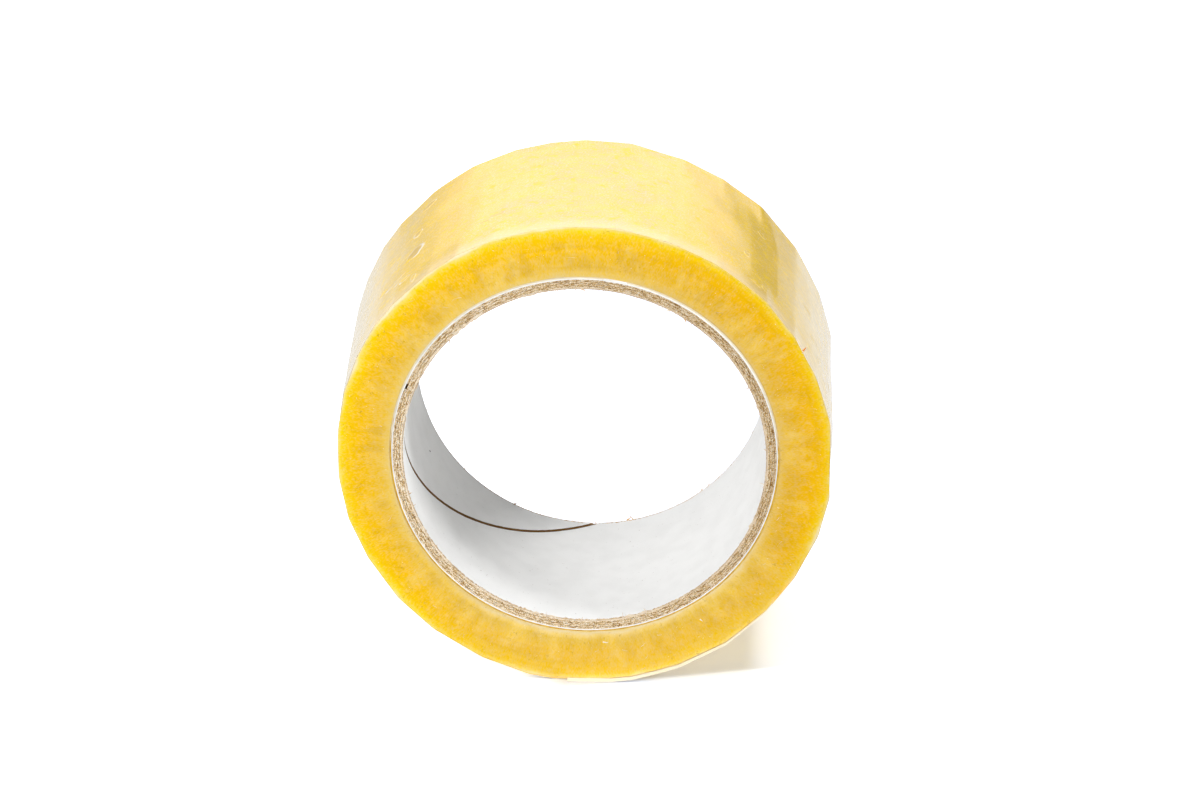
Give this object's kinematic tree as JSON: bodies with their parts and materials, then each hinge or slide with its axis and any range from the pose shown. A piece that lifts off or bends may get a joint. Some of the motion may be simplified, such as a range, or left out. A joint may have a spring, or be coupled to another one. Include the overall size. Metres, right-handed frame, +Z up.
{
  "type": "roll of pvc tape",
  "caption": "Roll of clear yellow PVC packing tape wound on a spiral paper core, standing on its rim, with a loose end that peels open.",
  "frame": {"origin": "middle of the core's bore, on its axis, halfway across the width", "axes": "+Y along the axis of the roll, away from the front face; +Z up as the roll stands on its rim; +X to the right seen from the front"},
  "size_m": [0.1038, 0.0488, 0.1041],
  "materials": {
    "liner_paper": "smooth white liner paper",
    "core_board": "raw grey-brown core board",
    "cover_paper": "white cover paper",
    "tape_body": "wound film edge, satin yellow",
    "tape_film": "glossy clear film over yellow",
    "tape_adhesive": "tacky cream adhesive"
  },
  "bodies": {
    "roll": {"core_liner": "liner_paper", "core_board_1": "core_board", "core_board_2": "core_board", "core_board_3": "core_board", "core_board_4": "core_board", "core_cover": "cover_paper", "tape_first_turns": "tape_body", "tape_winding": "tape_body", "tape_outer_turn": "tape_film"},
    "free_end": {"free_end_film": "tape_film", "free_end_adhesive": "tape_adhesive"}
  },
  "joints": [
    {"name": "free_end_peel", "type": "hinge", "parent": "roll", "child": "free_end", "pos_m": [0.03985, 0, -0.03344], "axis": [0, -1, 0], "range_deg": [0, 150]}
  ]
}
